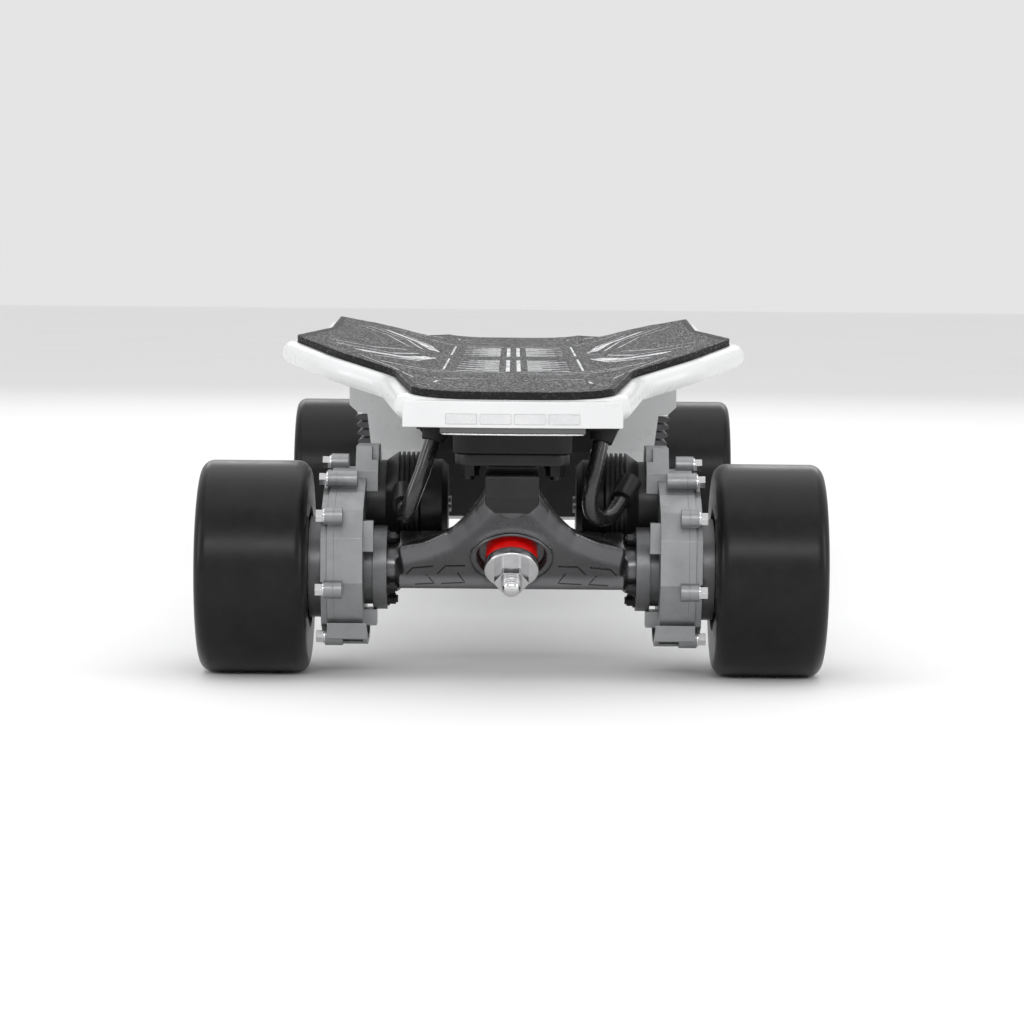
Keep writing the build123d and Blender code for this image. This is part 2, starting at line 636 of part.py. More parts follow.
def battery_enclosure():
    outer = tub(SHELL_OUT)
    panel = Pos(PANEL_X - 4, (PORT_Y + BUTTON_Y) / 2, PORT_Z + 3.5) * Box(8, 74, 35)
    outer += fillet(panel.edges().filter_by(Axis.X), 6)
    outer -= tub(SHELL_IN, -3)
    outer -= band(-60, DECK_T + GASKET_T)
    outer -= rod_x(9.0, 60, PANEL_X + 5, PORT_Y, PORT_Z)
    outer -= rod_x(10.0, 60, PANEL_X + 5, BUTTON_Y, PORT_Z)
    for screw in enclosure_screws(socket=False):
        outer -= screw
    return outer


COVER_OUTLINE = [(50, 80), (50, 62), (42, 52), (42, 20), (36, 14)]
COVER_T = 3.0


def enclosure_cover():
    """Dark service cover on the sloping end wall of the enclosure."""
    low, bend, high = FLOOR_Z + 1, FLOOR_Z + 39, DECK_TOP - DECK_T - 1.2
    foot = -BOX_END + 22 * (bend - low) / 40
    profile = [(foot, low), (-BOX_END, bend), (-BOX_END, high), (-BOX_END - COVER_T, high),
               (-BOX_END - COVER_T, bend), (foot - COVER_T, low)]
    outline = [(x, z + WHEEL_R) for x, z in both_sides(COVER_OUTLINE)]
    return prism_x(profile, -60, 60) & prism_y(outline, -BOX_END - 20, -BOX_END + 40)


def enclosure_gasket():
    ring = (tub(SHELL_OUT) - tub(SHELL_IN, -3)) & band(DECK_T, DECK_T + GASKET_T)
    for screw in enclosure_screws(socket=False):
        ring -= screw
    return ring


def enclosure_screws(socket=True):
    """Screws up through the flange into the deck."""
    screws = []
    for x in (-SCREW_X, SCREW_X):
        for y in SCREW_Y:
            shank = Pos(x, y, SCREW_HEAD_Z + 10) * Cylinder(1.8, 24)
            head = Pos(x, y, SCREW_HEAD_Z - 0.6) * Cylinder(3.4, 3.0)
            screw = shank + head
            if socket:
                screw -= Pos(x, y, SCREW_HEAD_Z - 2.1) * extrude(RegularPolygon(1.5, 6), amount=1.4)
            screws.append(screw)
    return screws


def battery_cells():
    """Forty cells lie crosswise in two flat layers."""
    cells = []
    for rise in (13.6, 34.8):
        for start in (-66.5, 0.5):
            for i in range(10):
                cells.append(rod_x(10.4, start, start + 66, -40 + 23.2 * i, FLOOR_Z + rise))
    return cells


def circuit_boards():
    guard = Pos(-10, 60, FLOOR_Z + 46.4) * Box(110, 150, 1.6)
    guard += Pos(-20, 30, FLOOR_Z + 49.2) * Box(60, 12, 4.2) + Pos(-40, 90, FLOOR_Z + 49.2) * Box(14, 40, 4.2)
    drive = Pos(0, -130, FLOOR_Z + 12) * Box(118, 110, 1.6)
    for i in range(6):
        drive += Pos(-47.5 + 19 * i, -160, FLOOR_Z + 14.9) * Box(11, 15, 4.4)
    for x in (-40, -20, 0, 20):
        drive += Pos(x, -105, FLOOR_Z + 18.7) * Cylinder(6.2, 12)
    for x in (-54, 54):
        for y in (-180, -80):
            drive += Pos(x, y, FLOOR_Z + 7.1) * Cylinder(3.0, 8.2)
    return [guard, drive]


FIN_HEIGHTS = (54.2, 58.6, 63.0, 67.3)


def heat_sinks():
    """Ribbed plates on both flanks of the enclosure, beside the speed controller."""
    sinks = []
    for side in SIDES.values():
        plate = prism_y([(74.5, 50), (77.0, 69.2), (79.4, 69.2), (77.0, 50)], -200, -20)
        for z in FIN_HEIGHTS:
            skin = 75.9 + (z - 50) * 0.125
            fin = extrude(Plane.XZ.offset(200) * Pos(skin + 1.4, z) * Ellipse(6.4, 1.7), amount=-180)
            plate += fin
        plate = Pos(0, 0, WHEEL_R) * plate
        sinks.append(mirrored(plate - tub(SHELL_OUT), side))
    return sinks


# ---- charging socket and power button -------------------------------------------------------------
PORT_R = 5.5
PORT_DEEP = 10.0


def charge_port():
    body = rod_x(9.0, PANEL_X - 13, PANEL_X, PORT_Y, PORT_Z) + rod_x(10.5, PANEL_X, PANEL_X + 1.5, PORT_Y, PORT_Z)
    return body - rod_x(PORT_R, PANEL_X + 1.5 - PORT_DEEP, PANEL_X + 2, PORT_Y, PORT_Z)


def charge_cover():
    """Rubber flap over the socket, hinged along its top edge."""
    lid = rod_x(11.0, PANEL_X + 1.8, PANEL_X + 4.2, PORT_Y, PORT_Z)
    tab = Pos(PANEL_X + 3.0, PORT_Y, PORT_Z + 11.5) * Box(2.4, 14, 7)
    hinge = Pos(PANEL_X + 3.0, PORT_Y, PORT_Z + 15.6) * Rot(90, 0, 0) * Cylinder(2.0, 14)
    pull = Pos(PANEL_X + 3.0, PORT_Y, PORT_Z - 12.5) * Box(2.4, 7, 5)
    bore = Pos(PANEL_X + 3.0, PORT_Y, PORT_Z + 15.6) * Rot(90, 0, 0) * Cylinder(0.85, 30)
    return lid + tab + hinge + pull - bore


def cover_pin():
    """Hinge pin with the two cheeks that carry it on the panel."""
    whole = Pos(PANEL_X + 3.0, PORT_Y, PORT_Z + 15.6) * Rot(90, 0, 0) * Cylinder(0.8, 22)
    for y in (PORT_Y - 9.2, PORT_Y + 9.2):
        whole += Pos(PANEL_X + 2.3, y, PORT_Z + 15.0) * Box(4.6, 3.2, 5.0)
    return whole


def power_button():
    stem = rod_x(4.0, PANEL_X - 7, PANEL_X - 2, BUTTON_Y, PORT_Z)
    cap = rod_x(7.2, PANEL_X - 2, PANEL_X + 2.2, BUTTON_Y, PORT_Z)
    return fillet((cap + stem).edges().filter_by(GeomType.CIRCLE).sort_by(Axis.X)[-1], 0.8)


def button_bezel():
    ring = rod_x(10.0, PANEL_X - 9, PANEL_X, BUTTON_Y, PORT_Z) + rod_x(11.5, PANEL_X, PANEL_X + 1.4, BUTTON_Y, PORT_Z)
    ring -= rod_x(7.4, PANEL_X - 4, PANEL_X + 3, BUTTON_Y, PORT_Z)
    return ring - rod_x(4.06, PANEL_X - 10, PANEL_X, BUTTON_Y, PORT_Z)


# ---- lights at each end, drawn level with the deck -------------------------------------------------
BAR_Z = (129.4, 141.6)
BAR_HALF = 51.5
BAR_FRONT = 470.0
BAR_BACK = 459.0
BAR_BOW = 4.0


def bar_plan(reach, half, back):
    """Bowed plan shape of an end bar, ends swept back."""
    ends = -reach + BAR_BOW
    bow = ThreePointArc((-half, ends), (0, -reach), (half, ends))
    return make_face(bow + Polyline((half, ends), (half, -back), (-half, -back), (-half, ends)))


def bar_block(height):
    return extrude(Pos(0, 0, BAR_Z[0]) * bar_plan(BAR_FRONT, BAR_HALF, BAR_BACK), amount=height)


def light_bar():
    block = bar_block(BAR_Z[1] - BAR_Z[0])
    block = fillet(block.edges().filter_by(Axis.Z).sort_by(Axis.Y)[:2], 2.0)
    block = chamfer(block.faces().sort_by(Axis.Z)[-1].edges().sort_by(Axis.Y)[:-1], 0.6)
    for lens in light_lenses():
        block -= lens
    return block


def light_lenses():
    """Four lamp windows set into the lower half of the bar."""
    face = extrude(bar_plan(BAR_FRONT + 0.4, BAR_HALF, BAR_BACK), amount=300)
    cells = [Pos(-24.0 + 16.0 * i, -BAR_FRONT, BAR_Z[0] + 4.0) * Box(14.4, 6, 4.6) for i in range(4)]
    return [cell & face for cell in cells]


def light_strip():
    """Dark glossy strip under the bar."""
    strip = extrude(Pos(0, 0, BAR_Z[0] - 3.6) * bar_plan(BAR_FRONT - 1.6, 34, BAR_BACK), amount=3.5)
    return chamfer(strip.faces().sort_by(Axis.Z)[0].edges(), 1.0)


# ---- write every sub-part ----------------------------------------------------------------------------
def main():
    os.makedirs("parts", exist_ok=True)
    ends = {"rear": rear, "front": front}

    nose = Rot(0, 0, 180)
    shell = deck_shell()
    save("deck_shell", shell)
    save("grip_pad", grip_pad())
    save("battery_enclosure", on_deck(battery_enclosure()))
    save("enclosure_gasket", on_deck(enclosure_gasket()))
    save("enclosure_covers", *[on_deck(turn * enclosure_cover()) for turn in (Rot(), nose)])
    save("enclosure_screws", *[on_deck(screw) for screw in enclosure_screws()])
    save("battery_cells", *[on_deck(cell) for cell in battery_cells()])
    save("circuit_boards", *[on_deck(board) for board in circuit_boards()])
    save("heat_sinks", *[on_deck(sink) for sink in heat_sinks()])
    save("panel_fittings", *[on_deck(part) for part in (charge_port(), cover_pin(), button_bezel())])
    save("charge_cover", on_deck(charge_cover()))
    save("power_button", on_deck(power_button()))
    save("light_bars", *[on_deck(turn * light_bar()) for turn in (Rot(), nose)])
    save("light_lenses", *[on_deck(turn * lens) for turn in (Rot(), nose) for lens in light_lenses()])
    save("light_strips", *[on_deck(turn * light_strip()) for turn in (Rot(), nose)])

    save("riser_pads", *[riser(shell, turn) for turn in ends.values()])
    save("rear_baseplate", rear(baseplate()))
    save("front_baseplate", front(baseplate()))
    save("pivot_cups", rear(pivot_cup()), front(pivot_cup()))
    save("kingpins", rear(kingpin()), front(kingpin()))
    save("kingpin_nuts", rear(kingpin_nut()), front(kingpin_nut()))
    save("kingpin_washers", *[turn(washer) for turn in ends.values() for washer in kingpin_washers()])
    for name, turn in ends.items():
        save(f"{name}_bushings", *[turn(bushing) for bushing in bushings()])
    save("truck_fasteners", *[part for turn in ends.values() for group in truck_bolts(turn) for part in group])

    save("rear_hanger", rear(hanger(BEAM_HALF, BOX_X[0] - 0.5)))
    save("front_hanger", front(hanger(BEAM_HALF + 12, INNER_X + 1.5)))
    save("rear_axle", rear(axle()))
    save("front_axle", front(axle()))
    save("rear_axle_nuts", *[rear(nut) for nut in axle_nuts()])
    save("front_axle_nuts", *[front(nut) for nut in axle_nuts()])

    for name, side in SIDES.items():
        save(f"{name}_rotor", rear(rotor(side)))
        save(f"{name}_pinion", rear(pinion(side)))
        save(f"{name}_motor_cable", rear(motor_cable(side)))
        save(f"rear_{name}_tyre", rear(tyre(side)))
        save(f"rear_{name}_hub", rear(wheel_hub(side)))
        save(f"rear_{name}_drive_gear", rear(drive_gear(side)))
        races = [bearing(x, side) for x in (GEAR_X[0], HUB_IN, HUB_OUT - BEARING_W)]
        save(f"rear_{name}_bearings", *[rear(race) for race in races])
        save(f"front_{name}_tyre", front(tyre(-side)))
        save(f"front_{name}_hub", front(wheel_hub(-side)))
        races = [bearing(x, -side) for x in (HUB_IN, HUB_OUT - BEARING_W)]
        save(f"front_{name}_bearings", *[front(race) for race in races])
    save("gearbox_housings", *[rear(gearbox_housing(side)) for side in SIDES.values()])
    save("gearbox_covers", *[rear(gearbox_cover(side)) for side in SIDES.values()])
    save("motor_cases", *[rear(motor_case(side) + motor_port(side)) for side in SIDES.values()])
    save("gearbox_clamps", *[rear(gearbox_clamp(side)) for side in SIDES.values()])
    save("gearbox_skids", *[rear(gearbox_skid(side)) for side in SIDES.values()])
    save("gearbox_bolts", *[rear(bolt) for side in SIDES.values() for bolt in gearbox_bolts(side)])
    save("clamp_bolts", *[rear(bolt) for side in SIDES.values() for bolt in clamp_bolts(side)])
    save("motor_stators", *[rear(motor_stator(side)) for side in SIDES.values()])
    save("cable_glands", *[rear(cable_gland(side)) for side in SIDES.values()])


main()
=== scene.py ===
"""Looks of an electric skateboard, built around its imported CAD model.

Frame: metres, origin on the ground under the middle of the board, +X to the rider's right,
+Y to the nose, +Z up. A truck's own frame has its origin on the axle and +Y towards the
middle of the board. Sizes written in millimetres are multiplied by MM.
"""

import json
from math import cos, pi, radians, sin

import bmesh
import bpy
from mathutils import Matrix, Vector
from mathutils.bvhtree import BVHTree


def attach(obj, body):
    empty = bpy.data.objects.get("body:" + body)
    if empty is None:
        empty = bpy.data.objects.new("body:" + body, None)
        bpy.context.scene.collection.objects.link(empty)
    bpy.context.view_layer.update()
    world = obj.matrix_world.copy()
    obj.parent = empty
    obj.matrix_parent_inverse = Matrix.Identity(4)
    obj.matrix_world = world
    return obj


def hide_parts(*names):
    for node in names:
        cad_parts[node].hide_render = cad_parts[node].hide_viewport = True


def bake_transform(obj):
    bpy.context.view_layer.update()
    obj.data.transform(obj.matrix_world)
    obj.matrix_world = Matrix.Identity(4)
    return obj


MM = 0.001
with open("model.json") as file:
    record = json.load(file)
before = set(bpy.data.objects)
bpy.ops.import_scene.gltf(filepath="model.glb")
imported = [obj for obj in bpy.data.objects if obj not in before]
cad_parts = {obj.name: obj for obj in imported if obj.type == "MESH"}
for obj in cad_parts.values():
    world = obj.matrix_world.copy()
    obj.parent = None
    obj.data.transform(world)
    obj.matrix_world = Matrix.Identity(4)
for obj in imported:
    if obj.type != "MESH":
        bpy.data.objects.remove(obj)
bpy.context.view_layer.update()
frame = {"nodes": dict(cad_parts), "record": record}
nodes = frame["nodes"]

AXLE_Z = 52.5 * MM
HALF_WHEELBASE = 370 * MM
REAR = Matrix.Translation((0, -HALF_WHEELBASE, AXLE_Z))
FRONT = Matrix.Translation((0, HALF_WHEELBASE, AXLE_Z)) @ Matrix.Rotation(pi, 4, "Z")
TRUCKS = {"rear": REAR, "front": FRONT}
DECK_TILT = Matrix.Rotation(radians(0.3), 4, "X")
# The kingpin's frame: +Z along it, outboard and down, with its origin in the hanger's seat.
KINGPIN = Matrix.Translation((0, -24 * MM, 9 * MM)) @ Matrix.Rotation(radians(135), 4, "X")


# ---- materials -----------------------------------------------------------------------------
# Where Blender's mix node keeps its factor, its two colours and its mixed colour.
COLOUR_MIX_INPUTS = (0, 6, 7)
COLOUR_MIX_OUTPUT = 2


class Surface:
    """One procedural material, made node by node in the object's own coordinates."""

    def __init__(self, name, **sockets):
        self.material = bpy.data.materials.new(name)
        self.material.use_nodes = True
        self.tree = self.material.node_tree
        self.shader = self.tree.nodes["Principled BSDF"]
        coordinates = self.tree.nodes.new("ShaderNodeTexCoord")
        self.place = coordinates.outputs["Object"]
        self.normal = coordinates.outputs["Normal"]
        for socket, value in sockets.items():
            self.shader.inputs[socket.replace("_", " ")].default_value = value

    def node(self, kind, settings=None, **inputs):
        """A new shader node with its settings, and a value or a link on each named input."""
        made = self.tree.nodes.new(kind)
        for key, value in (settings or {}).items():
            setattr(made, key, value)
        for socket, value in inputs.items():
            self.feed(made.inputs[socket.replace("_", " ")], value)
        return made

    def feed(self, socket, value):
        """Link the socket to another node's output, or give it a plain value."""
        if isinstance(value, bpy.types.NodeSocket):
            self.tree.links.new(value, socket)
        else:
            socket.default_value = value

    def stretched(self, x, y, z):
        """The object's coordinates scaled along each axis."""
        return self.node("ShaderNodeMapping", Vector=self.place, Scale=(x, y, z)).outputs[0]

    def noise(self, scale, detail=4.0, roughness=0.55, vector=None):
        """Cloudy noise from 0 to 1, with scale cells to the metre."""
        made = self.node("ShaderNodeTexNoise", Vector=vector or self.place, Scale=scale,
                         Detail=detail, Roughness=roughness)
        return made.outputs["Fac"]

    def cells(self, scale, output="Color"):
        """Grains: a random colour for each, or the distance from its middle."""
        return self.node("ShaderNodeTexVoronoi", Vector=self.place, Scale=scale).outputs[output]

    def bands(self, scale, distortion=0.0):
        """Waves along X from 0 to 1."""
        made = self.node("ShaderNodeTexWave", {"bands_direction": "X"}, Vector=self.place,
                         Scale=scale, Distortion=distortion)
        return made.outputs["Fac"]

    def product(self, a, b):
        """Two values multiplied."""
        made = self.node("ShaderNodeMath", {"operation": "MULTIPLY"})
        for socket, value in zip(made.inputs, (a, b)):
            self.feed(socket, value)
        return made.outputs[0]

    def ramp(self, value, *stops):
        """Colours, or greys as plain numbers, against a value from 0 to 1."""
        made = self.node("ShaderNodeValToRGB", Fac=value)
        while len(made.color_ramp.elements) < len(stops):
            made.color_ramp.elements.new(0.5)
        for element, (at, colour) in zip(made.color_ramp.elements, stops):
            element.position = at
            element.color = (*colour, 1) if isinstance(colour, tuple) else (*[colour] * 3, 1)
        return made.outputs["Color"]

    def mix(self, factor, a, b):
        """Colour a where the factor is 0, and b where it is 1."""
        made = self.node("ShaderNodeMix", {"data_type": "RGBA"})
        for index, value in zip(COLOUR_MIX_INPUTS, (factor, a, b)):
            self.feed(made.inputs[index], (*value, 1) if isinstance(value, tuple) else value)
        return made.outputs[COLOUR_MIX_OUTPUT]

    def colour(self, value):
        self.feed(self.shader.inputs["Base Color"], value)

    def roughness(self, value):
        self.feed(self.shader.inputs["Roughness"], value)

    def bump(self, *heights, edge=0.0):
        """Each height is (value, depth in mm). An edge radius in mm softens sharp edges."""
        normal = None
        if edge:
            normal = self.node("ShaderNodeBevel", {"samples": 4}, Radius=edge * MM).outputs[0]
        for value, depth in heights:
            made = self.node("ShaderNodeBump", Height=value, Distance=depth * MM, Strength=1.0)
            if normal:
                self.feed(made.inputs["Normal"], normal)
            normal = made.outputs[0]
        self.feed(self.shader.inputs["Normal"], normal)


def painted(name, low, high, rough, grain, depth, edge=0.4, blotch=35.0, **sockets):
    """Paint, moulding or casting: blotchy colour, uneven gloss and a fine surface grain.

    The colour goes from low to high and the roughness between the two in rough. The grain is
    depth mm deep, and blotch is the scale of the clouds in the colour.
    """
    s = Surface(name, **sockets)
    clouds = s.noise(blotch, 5.0)
    fine = s.noise(grain, 3.0)
    s.colour(s.ramp(clouds, (0.3, low), (0.7, high)))
    s.roughness(s.ramp(s.noise(blotch * 4, 4.0), (0.3, rough[0]), (0.75, rough[1])))
    s.bump((fine, depth), edge=edge)
    return s.material


def white_moulding():
    """Glossy white shell with faint dust."""
    s = Surface("white_moulding", Coat_Weight=0.35, Coat_Roughness=0.12, IOR=1.5)
    s.colour(s.ramp(s.noise(14.0, 6.0), (0.35, (0.70, 0.705, 0.71)), (0.65, (0.75, 0.755, 0.76))))
    s.roughness(s.ramp(s.noise(120.0, 5.0), (0.3, 0.26), (0.7, 0.36)))
    s.bump((s.noise(1500.0, 2.0), 0.012), (s.noise(60.0, 2.0), 0.03), edge=0.6)
    return s.material


GRIT_SCALE = 1200.0        # grains to the metre


def grip_surface():
    """Grit in clear resin on top with glints painted in as pale grains, plain cut foam on the
    sides.
    """
    s = Surface("grip_surface")
    rise = s.node("ShaderNodeSeparateXYZ", Vector=s.normal).outputs["Z"]
    up = s.ramp(rise, (0.45, 0.0), (0.65, 1.0))
    chance = s.node("ShaderNodeSeparateColor", Color=s.cells(GRIT_SCALE)).outputs[0]
    bright = s.ramp(chance, (0.84, 0.0), (0.92, 1.0))
    clouds = s.noise(55.0, 6.0, 0.7)
    grit = s.mix(clouds, (0.008, 0.008, 0.008), (0.040, 0.041, 0.042))
    # Pale grains mixed into the dark grit are painted glints; the same grains are also made
    # glossier.
    grit_with_painted_glints = s.mix(s.product(bright, clouds), grit, (0.70, 0.70, 0.72))
    s.colour(s.mix(up, (0.004, 0.004, 0.004), grit_with_painted_glints))
    s.roughness(s.mix(bright, (0.85, 0.85, 0.85), (0.35, 0.35, 0.35)))
    s.bump((s.product(s.cells(GRIT_SCALE, "Distance"), up), 0.2), (s.noise(2600.0, 3.0), 0.06))
    return s.material


def grip_ink():
    """Pale print, broken up by the grit under it."""
    s = Surface("grip_ink", Roughness=0.6)
    gaps = s.ramp(s.noise(520.0, 5.0, 0.75), (0.40, 0.0), (0.48, 1.0))
    worn = s.ramp(s.noise(40.0, 4.0), (0.35, 0.45), (0.55, 1.0))
    s.colour(s.mix(s.product(gaps, worn), (0.05, 0.05, 0.052), (0.82, 0.83, 0.84)))
    s.bump((s.cells(900.0, "Distance"), 0.15))
    return s.material


def turned_metal(name, colour, rough):
    """Bright or ground metal with fine turning marks across X and faint handling marks."""
    s = Surface(name, Metallic=1.0)
    marks = s.noise(1.0, 3.0, vector=s.stretched(2600.0, 90.0, 90.0))
    smudge = s.noise(160.0, 5.0, 0.65)
    s.colour(s.mix(smudge, tuple(c * 0.82 for c in colour), colour))
    s.roughness(s.ramp(smudge, (0.3, rough[0]), (0.72, rough[1])))
    s.bump((marks, 0.006), edge=0.25)
    return s.material


def blasted_alloy(name, low, high, rough):
    """Bead blasted and anodised aluminium."""
    s = Surface(name, Metallic=0.85)
    s.colour(s.ramp(s.noise(70.0, 6.0, 0.6), (0.3, low), (0.7, high)))
    s.roughness(s.ramp(s.noise(300.0, 4.0), (0.3, rough[0]), (0.7, rough[1])))
    s.bump((s.cells(3200.0, "Distance"), 0.02), (s.noise(900.0, 3.0), 0.015), edge=0.35)
    return s.material


def wheel_urethane():
    """Poured and lathe-turned urethane: rings round the tread and a soft satin gloss."""
    s = Surface("wheel_urethane", Specular_IOR_Level=0.22)
    rings = s.noise(1.0, 4.0, 0.6, s.stretched(1500.0, 8.0, 8.0))
    scuff = s.noise(90.0, 7.0, 0.7)
    s.colour(s.ramp(scuff, (0.35, 0.004), (0.75, (0.009, 0.009, 0.0092))))
    s.roughness(s.ramp(scuff, (0.3, 0.27), (0.75, 0.36)))
    s.bump((rings, 0.012), (s.noise(1400.0, 3.0), 0.008), edge=0.5)
    return s.material


def bushing_urethane():
    """Soft red rubber that lets a little light in."""
    s = Surface("bushing_urethane", Subsurface_Weight=0.25, Subsurface_Scale=0.004,
                Coat_Weight=0.3, Coat_Roughness=0.2)
    s.shader.inputs["Subsurface Radius"].default_value = (1.0, 0.12, 0.06)
    s.colour(s.ramp(s.noise(120.0, 4.0), (0.3, (0.62, 0.0, 0.0)), (0.7, (0.80, 0.004, 0.003))))
    s.roughness(s.ramp(s.noise(300.0, 4.0), (0.3, 0.28), (0.7, 0.42)))
    s.bump((s.noise(700.0, 3.0), 0.02), edge=0.5)
    return s.material


def lamp_lens():
    """Frosted clear cover with upright prisms moulded in."""
    s = Surface("lamp_lens", Transmission_Weight=0.25, IOR=1.49, Coat_Weight=0.6,
                Coat_Roughness=0.08)
    s.colour(s.ramp(s.noise(90.0, 4.0), (0.3, (0.80, 0.81, 0.82)), (0.7, (0.90, 0.90, 0.91))))
    s.roughness(s.ramp(s.noise(260.0, 3.0), (0.3, 0.18), (0.7, 0.28)))
    s.bump((s.bands(110.0), 0.08), edge=0.4)
    return s.material


def cable_sheath():
    """Black cable sleeve under a clear gloss."""
    s = Surface("cable_sheath_gloss", Coat_Weight=0.6, Coat_Roughness=0.12)
    s.colour(s.ramp(s.noise(160.0, 5.0), (0.3, 0.006), (0.7, 0.014)))
    s.roughness(s.ramp(s.noise(420.0, 4.0), (0.3, 0.22), (0.7, 0.34)))
    s.bump((s.noise(1300.0, 3.0), 0.02), (s.noise(120.0, 2.0), 0.05))
    return s.material


def windings():
    """Copper wire in enamel, wound turn by turn."""
    s = Surface("enamelled_wire", Metallic=1.0)
    turns = s.bands(380.0, 1.5)
    s.colour(s.mix(s.noise(300.0), (0.45, 0.16, 0.05), (0.72, 0.33, 0.14)))
    s.roughness(s.ramp(turns, (0.2, 0.4), (0.8, 0.22)))
    s.bump((turns, 0.2))
    return s.material


def make_materials():
    """The material of every slot, and those of a few single nodes."""
    return {
        "white_shell": white_moulding(),
        "grip_foam": grip_surface(),
        "grip_ink": grip_ink(),
        "black_rubber": painted("moulded_rubber", 0.010, 0.020, (0.6, 0.78), 1800.0, 0.03,
                                Specular_IOR_Level=0.25),
        "bright_steel": turned_metal("bright_steel", (0.78, 0.78, 0.79), (0.12, 0.26)),
        "ground_steel": turned_metal("ground_steel", (0.48, 0.49, 0.50), (0.24, 0.38)),
        "gear_steel": turned_metal("gear_steel", (0.16, 0.16, 0.165), (0.34, 0.46)),
        "black_steel": painted("black_oxide", (0.012, 0.012, 0.013), (0.03, 0.03, 0.032),
                               (0.28, 0.4), 1600.0, 0.01, edge=0.25, blotch=90.0, Metallic=0.7),
        "cell_wrap": painted("cell_sleeve", (0.03, 0.15, 0.36), (0.05, 0.20, 0.45),
                             (0.35, 0.5), 900.0, 0.02),
        "board_laminate": painted("board_laminate", (0.01, 0.12, 0.05), (0.02, 0.18, 0.08),
                                  (0.35, 0.5), 900.0, 0.02),
        "dark_alloy": blasted_alloy("anodised_fins", (0.10, 0.10, 0.105), (0.15, 0.15, 0.155),
                                    (0.38, 0.5)),
        "grey_alloy": blasted_alloy("blasted_alloy", (0.25, 0.255, 0.26), (0.32, 0.325, 0.33),
                                    (0.36, 0.48)),
        "clamp_alloy": blasted_alloy("clamp_alloy", (0.13, 0.132, 0.136), (0.18, 0.182, 0.186),
                                     (0.34, 0.46)),
        "black_plastic": painted("textured_plastic", 0.008, 0.015, (0.45, 0.6), 2200.0, 0.03,
                                 Specular_IOR_Level=0.25),
        "lamp_lens": lamp_lens(),
        "smoked_plastic": painted("smoked_plastic", (0.06, 0.06, 0.062), (0.09, 0.09, 0.092),
                                  (0.08, 0.16), 700.0, 0.006, blotch=20.0,
                                  Coat_Weight=0.8, Coat_Roughness=0.05),
        "black_casting": painted("black_casting", 0.010, (0.018, 0.018, 0.0185),
                                 (0.30, 0.42), 1000.0, 0.04, edge=0.0, blotch=60.0,
                                 Specular_IOR_Level=0.3),
        "hanger_coat": painted("gunmetal_coat", (0.11, 0.11, 0.114), (0.15, 0.15, 0.155),
                               (0.22, 0.30), 800.0, 0.010, edge=0.0, blotch=30.0, Metallic=0.85),
        "red_urethane": bushing_urethane(),
        "motor_black": painted("motor_enamel", 0.008, (0.016, 0.016, 0.0165), (0.28, 0.38),
                               1500.0, 0.015, Specular_IOR_Level=0.3),
        "copper_winding": windings(),
        "tyre_urethane": wheel_urethane(),
        "hub_alloy": blasted_alloy("hub_alloy", (0.03, 0.03, 0.031), (0.05, 0.05, 0.052),
                                   (0.34, 0.46)),
        "cable_sheath": cable_sheath(),
    }


CASTING_VOXEL = 0.9 * MM
# How often each kind of casting is smoothed.
CASTING_PASSES = {"hanger": 9, "baseplate": 4}
# The material of each node that looks unlike the rest of its slot.
SPECIAL_FINISH = {
    "gearbox_clamps": "clamp_alloy",
    "rear_left_drive_gear": "gear_steel",
    "rear_right_drive_gear": "gear_steel",
}


def soften_castings():
    """Cast parts lose their sharp edges: remeshed finely, then smoothed."""
    for part, passes in CASTING_PASSES.items():
        for truck in TRUCKS:
            casting = nodes[f"{truck}_{part}"]
            remesh = casting.modifiers.new("remesh", "REMESH")
            remesh.mode = "VOXEL"
            remesh.voxel_size = CASTING_VOXEL
            remesh.use_smooth_shade = True
            smooth = casting.modifiers.new("smooth", "SMOOTH")
            smooth.factor = 0.5
            smooth.iterations = passes


def finish_nodes(materials):
    """Every CAD node takes the material of its slot in the record, apart from a few."""
    for row in frame["record"]["subparts"]:
        mesh = nodes[row["node"]].data
        mesh.materials.clear()
        mesh.materials.append(materials[SPECIAL_FINISH.get(row["node"], row["material_slot"])])


# ---- camera, floor and light ---------------------------------------------------------------
CAMERA_PLACE = (0, -2.025, 0.2045)
CAMERA_LENS = 117.8        # mm, on a sensor 36 mm wide
CAMERA_DOWN = 4.29         # degrees below level
CAMERA_ROLL = 0.5          # degrees
FLOOR_HALF = 12.0          # half the floor's width
WORLD_STRENGTH = 0.78
# Each light's place, the point it faces, its width and length, and its power in watts.
LIGHTS = {
    "overhead": ((0, 0.1, 1.7), (0, 0, 0), (1.8, 2.4), 10),
    "tail_softbox": ((0, -3.0, 1.45), (0, -0.4, 0.06), (2.6, 0.42), 24),
    "left_softbox": ((-1.8, -0.8, 0.6), (0, -0.3, 0.08), (0.5, 0.9), 5),
    "right_softbox": ((1.8, -0.8, 0.6), (0, -0.3, 0.08), (0.5, 0.9), 5),
    "nose_softbox": ((0, 2.6, 1.3), (0, 0.4, 0.06), (2.4, 0.5), 10),
}


def add_object(name, data):
    """A new object in the scene."""
    made = bpy.data.objects.new(name, data)
    bpy.context.scene.collection.objects.link(made)
    return made


def add_camera():
    """Behind the tail, a little above the deck, with a long lens."""
    data = bpy.data.cameras.new("camera")
    data.lens = CAMERA_LENS
    data.sensor_width = 36.0
    data.clip_end = 50.0
    camera = add_object("camera", data)
    look = Matrix.Rotation(radians(90 - CAMERA_DOWN), 4, "X")
    roll = Matrix.Rotation(radians(CAMERA_ROLL), 4, "Z")
    camera.matrix_world = Matrix.Translation(CAMERA_PLACE) @ look @ roll
    bpy.context.scene.camera = camera


